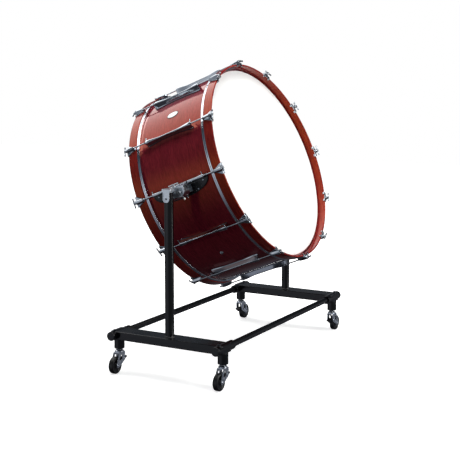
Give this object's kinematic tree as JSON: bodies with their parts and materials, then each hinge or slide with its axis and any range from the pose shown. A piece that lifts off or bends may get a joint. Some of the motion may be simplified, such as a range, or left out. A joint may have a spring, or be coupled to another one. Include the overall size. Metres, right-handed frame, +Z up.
{
  "type": "bass drum",
  "caption": "Large concert bass drum in a lacquered wood shell, hung between the posts of a black rolling stand that lets it tilt and lock at any angle.",
  "frame": {"origin": "on the floor under the middle of the drum, at the centre of the whole part's footprint", "axes": "+Z up, -Y towards the side that the playing head faces, +X along the tilt axis from the left post to the right post"},
  "size_m": [1.281, 0.824, 1.3829],
  "materials": {
    "lacquered_shell": "gloss",
    "lacquered_hoop": "gloss",
    "film_head": "satin",
    "chrome": "polished",
    "black_paint": "satin",
    "black_rubber": "satin"
  },
  "bodies": {
    "stand": {"side_frame_left": "black_paint", "post_bracket_left": "chrome", "side_frame_right": "black_paint", "post_bracket_right": "chrome", "cross_tube_front": "black_paint", "cross_tube_rear": "black_paint"},
    "drum": {"shell": "lacquered_shell", "hoop_front": "lacquered_hoop", "drumhead_front": "film_head", "hoop_rear": "lacquered_hoop", "drumhead_rear": "film_head", "trunnion_left": "chrome", "trunnion_right": "chrome", "lug_01": "chrome", "lug_02": "chrome", "lug_04": "chrome", "lug_05": "chrome", "lug_06": "chrome", "lug_07": "chrome", "lug_08": "chrome", "lug_10": "chrome", "lug_11": "chrome", "lug_12": "chrome"},
    "lock_lever": {"lock_lever": "chrome"},
    "caster_front_left": {"caster_fork_front_left": "chrome"},
    "wheel_front_left": {"wheel_front_left": "black_rubber"},
    "brake_front_left": {"brake_lever_front_left": "black_paint"},
    "caster_front_right": {"caster_fork_front_right": "chrome"},
    "wheel_front_right": {"wheel_front_right": "black_rubber"},
    "brake_front_right": {"brake_lever_front_right": "black_paint"},
    "caster_rear_left": {"caster_fork_rear_left": "chrome"},
    "wheel_rear_left": {"wheel_rear_left": "black_rubber"},
    "brake_rear_left": {"brake_lever_rear_left": "black_paint"},
    "caster_rear_right": {"caster_fork_rear_right": "chrome"},
    "wheel_rear_right": {"wheel_rear_right": "black_rubber"},
    "brake_rear_right": {"brake_lever_rear_right": "black_paint"},
    "tension_rod_front_01": {"tension_rod_front_01": "chrome"},
    "tension_rod_front_02": {"tension_rod_front_02": "chrome"},
    "tension_rod_front_03": {"tension_rod_front_03": "chrome"},
    "tension_rod_front_04": {"tension_rod_front_04": "chrome"},
    "tension_rod_front_05": {"tension_rod_front_05": "chrome"},
    "tension_rod_front_06": {"tension_rod_front_06": "chrome"},
    "tension_rod_front_07": {"tension_rod_front_07": "chrome"},
    "tension_rod_front_08": {"tension_rod_front_08": "chrome"},
    "tension_rod_front_09": {"tension_rod_front_09": "chrome"},
    "tension_rod_front_10": {"tension_rod_front_10": "chrome"},
    "tension_rod_front_11": {"tension_rod_front_11": "chrome"},
    "tension_rod_front_12": {"tension_rod_front_12": "chrome"},
    "tension_rod_rear_01": {"tension_rod_rear_01": "chrome"},
    "tension_rod_rear_02": {"tension_rod_rear_02": "chrome"},
    "tension_rod_rear_03": {"tension_rod_rear_03": "chrome"},
    "tension_rod_rear_04": {"tension_rod_rear_04": "chrome"},
    "tension_rod_rear_05": {"tension_rod_rear_05": "chrome"},
    "tension_rod_rear_06": {"tension_rod_rear_06": "chrome"},
    "tension_rod_rear_07": {"tension_rod_rear_07": "chrome"},
    "tension_rod_rear_08": {"tension_rod_rear_08": "chrome"},
    "tension_rod_rear_09": {"tension_rod_rear_09": "chrome"},
    "tension_rod_rear_10": {"tension_rod_rear_10": "chrome"},
    "tension_rod_rear_11": {"tension_rod_rear_11": "chrome"},
    "tension_rod_rear_12": {"tension_rod_rear_12": "chrome"}
  },
  "joints": [
    {"name": "drum_tilt", "type": "hinge", "parent": "stand", "child": "drum", "pos_m": [0, -0.01049, 0.81539], "axis": [1, 0, 0], "range_deg": [-68, 112]},
    {"name": "lock_lever_turn", "type": "hinge", "parent": "drum", "child": "lock_lever", "pos_m": [-0.541, -0.04834, 0.82314], "axis": [1, 0, 0], "range_deg": [-120, 0]},
    {"name": "caster_swivel_front_left", "type": "hinge", "parent": "stand", "child": "caster_front_left", "pos_m": [-0.5675, -0.27549, 0.1], "axis": [0, 0, 1], "continuous": true},
    {"name": "wheel_spin_front_left", "type": "hinge", "parent": "caster_front_left", "child": "wheel_front_left", "pos_m": [-0.6025, -0.27549, 0.038], "axis": [0, 1, 0], "continuous": true},
    {"name": "brake_press_front_left", "type": "hinge", "parent": "caster_front_left", "child": "brake_front_left", "pos_m": [-0.5545, -0.27549, 0.061], "axis": [0, 1, 0], "range_deg": [0, 20]},
    {"name": "caster_swivel_front_right", "type": "hinge", "parent": "stand", "child": "caster_front_right", "pos_m": [0.5675, -0.27549, 0.1], "axis": [0, 0, 1], "continuous": true},
    {"name": "wheel_spin_front_right", "type": "hinge", "parent": "caster_front_right", "child": "wheel_front_right", "pos_m": [0.6025, -0.27549, 0.038], "axis": [0, 1, 0], "continuous": true},
    {"name": "brake_press_front_right", "type": "hinge", "parent": "caster_front_right", "child": "brake_front_right", "pos_m": [0.5545, -0.27549, 0.061], "axis": [0, -1, 0], "range_deg": [0, 20]},
    {"name": "caster_swivel_rear_left", "type": "hinge", "parent": "stand", "child": "caster_rear_left", "pos_m": [-0.5675, 0.25451, 0.1], "axis": [0, 0, 1], "continuous": true},
    {"name": "wheel_spin_rear_left", "type": "hinge", "parent": "caster_rear_left", "child": "wheel_rear_left", "pos_m": [-0.6025, 0.25451, 0.038], "axis": [0, 1, 0], "continuous": true},
    {"name": "brake_press_rear_left", "type": "hinge", "parent": "caster_rear_left", "child": "brake_rear_left", "pos_m": [-0.5545, 0.25451, 0.061], "axis": [0, 1, 0], "range_deg": [0, 20]},
    {"name": "caster_swivel_rear_right", "type": "hinge", "parent": "stand", "child": "caster_rear_right", "pos_m": [0.5675, 0.25451, 0.1], "axis": [0, 0, 1], "continuous": true},
    {"name": "wheel_spin_rear_right", "type": "hinge", "parent": "caster_rear_right", "child": "wheel_rear_right", "pos_m": [0.6025, 0.25451, 0.038], "axis": [0, 1, 0], "continuous": true},
    {"name": "brake_press_rear_right", "type": "hinge", "parent": "caster_rear_right", "child": "brake_rear_right", "pos_m": [0.5545, 0.25451, 0.061], "axis": [0, -1, 0], "range_deg": [0, 20]},
    {"name": "tension_rod_front_01_turn", "type": "hinge", "parent": "drum", "child": "tension_rod_front_01", "pos_m": [0.2395, -0.06713, 1.31588], "axis": [0, -0.9272, 0.3746], "continuous": true},
    {"name": "tension_rod_front_02_turn", "type": "hinge", "parent": "drum", "child": "tension_rod_front_02", "pos_m": [0.41483, -0.13281, 1.15332], "axis": [0, -0.9272, 0.3746], "continuous": true},
    {"name": "tension_rod_front_03_turn", "type": "hinge", "parent": "drum", "child": "tension_rod_front_03", "pos_m": [0.479, -0.22252, 0.93126], "axis": [0, -0.9272, 0.3746], "continuous": true},
    {"name": "tension_rod_front_04_turn", "type": "hinge", "parent": "drum", "child": "tension_rod_front_04", "pos_m": [0.41483, -0.31224, 0.7092], "axis": [0, -0.9272, 0.3746], "continuous": true},
    {"name": "tension_rod_front_05_turn", "type": "hinge", "parent": "drum", "child": "tension_rod_front_05", "pos_m": [0.2395, -0.37792, 0.54664], "axis": [0, -0.9272, 0.3746], "continuous": true},
    {"name": "tension_rod_front_06_turn", "type": "hinge", "parent": "drum", "child": "tension_rod_front_06", "pos_m": [0, -0.40196, 0.48714], "axis": [0, -0.9272, 0.3746], "continuous": true},
    {"name": "tension_rod_front_07_turn", "type": "hinge", "parent": "drum", "child": "tension_rod_front_07", "pos_m": [-0.2395, -0.37792, 0.54664], "axis": [0, -0.9272, 0.3746], "continuous": true},
    {"name": "tension_rod_front_08_turn", "type": "hinge", "parent": "drum", "child": "tension_rod_front_08", "pos_m": [-0.41483, -0.31224, 0.7092], "axis": [0, -0.9272, 0.3746], "continuous": true},
    {"name": "tension_rod_front_09_turn", "type": "hinge", "parent": "drum", "child": "tension_rod_front_09", "pos_m": [-0.479, -0.22252, 0.93126], "axis": [0, -0.9272, 0.3746], "continuous": true},
    {"name": "tension_rod_front_10_turn", "type": "hinge", "parent": "drum", "child": "tension_rod_front_10", "pos_m": [-0.41483, -0.13281, 1.15332], "axis": [0, -0.9272, 0.3746], "continuous": true},
    {"name": "tension_rod_front_11_turn", "type": "hinge", "parent": "drum", "child": "tension_rod_front_11", "pos_m": [-0.2395, -0.06713, 1.31588], "axis": [0, -0.9272, 0.3746], "continuous": true},
    {"name": "tension_rod_front_12_turn", "type": "hinge", "parent": "drum", "child": "tension_rod_front_12", "pos_m": [0, -0.04309, 1.37538], "axis": [0, -0.9272, 0.3746], "continuous": true},
    {"name": "tension_rod_rear_01_turn", "type": "hinge", "parent": "drum", "child": "tension_rod_rear_01", "pos_m": [0.2395, 0.37792, 1.13607], "axis": [0, 0.9272, -0.3746], "continuous": true},
    {"name": "tension_rod_rear_02_turn", "type": "hinge", "parent": "drum", "child": "tension_rod_rear_02", "pos_m": [0.41483, 0.31224, 0.97351], "axis": [0, 0.9272, -0.3746], "continuous": true},
    {"name": "tension_rod_rear_03_turn", "type": "hinge", "parent": "drum", "child": "tension_rod_rear_03", "pos_m": [0.479, 0.22252, 0.75145], "axis": [0, 0.9272, -0.3746], "continuous": true},
    {"name": "tension_rod_rear_04_turn", "type": "hinge", "parent": "drum", "child": "tension_rod_rear_04", "pos_m": [0.41483, 0.13281, 0.52939], "axis": [0, 0.9272, -0.3746], "continuous": true},
    {"name": "tension_rod_rear_05_turn", "type": "hinge", "parent": "drum", "child": "tension_rod_rear_05", "pos_m": [0.2395, 0.06713, 0.36683], "axis": [0, 0.9272, -0.3746], "continuous": true},
    {"name": "tension_rod_rear_06_turn", "type": "hinge", "parent": "drum", "child": "tension_rod_rear_06", "pos_m": [0, 0.04309, 0.30733], "axis": [0, 0.9272, -0.3746], "continuous": true},
    {"name": "tension_rod_rear_07_turn", "type": "hinge", "parent": "drum", "child": "tension_rod_rear_07", "pos_m": [-0.2395, 0.06713, 0.36683], "axis": [0, 0.9272, -0.3746], "continuous": true},
    {"name": "tension_rod_rear_08_turn", "type": "hinge", "parent": "drum", "child": "tension_rod_rear_08", "pos_m": [-0.41483, 0.13281, 0.52939], "axis": [0, 0.9272, -0.3746], "continuous": true},
    {"name": "tension_rod_rear_09_turn", "type": "hinge", "parent": "drum", "child": "tension_rod_rear_09", "pos_m": [-0.479, 0.22252, 0.75145], "axis": [0, 0.9272, -0.3746], "continuous": true},
    {"name": "tension_rod_rear_10_turn", "type": "hinge", "parent": "drum", "child": "tension_rod_rear_10", "pos_m": [-0.41483, 0.31224, 0.97351], "axis": [0, 0.9272, -0.3746], "continuous": true},
    {"name": "tension_rod_rear_11_turn", "type": "hinge", "parent": "drum", "child": "tension_rod_rear_11", "pos_m": [-0.2395, 0.37792, 1.13607], "axis": [0, 0.9272, -0.3746], "continuous": true},
    {"name": "tension_rod_rear_12_turn", "type": "hinge", "parent": "drum", "child": "tension_rod_rear_12", "pos_m": [0, 0.40196, 1.19557], "axis": [0, 0.9272, -0.3746], "continuous": true}
  ]
}
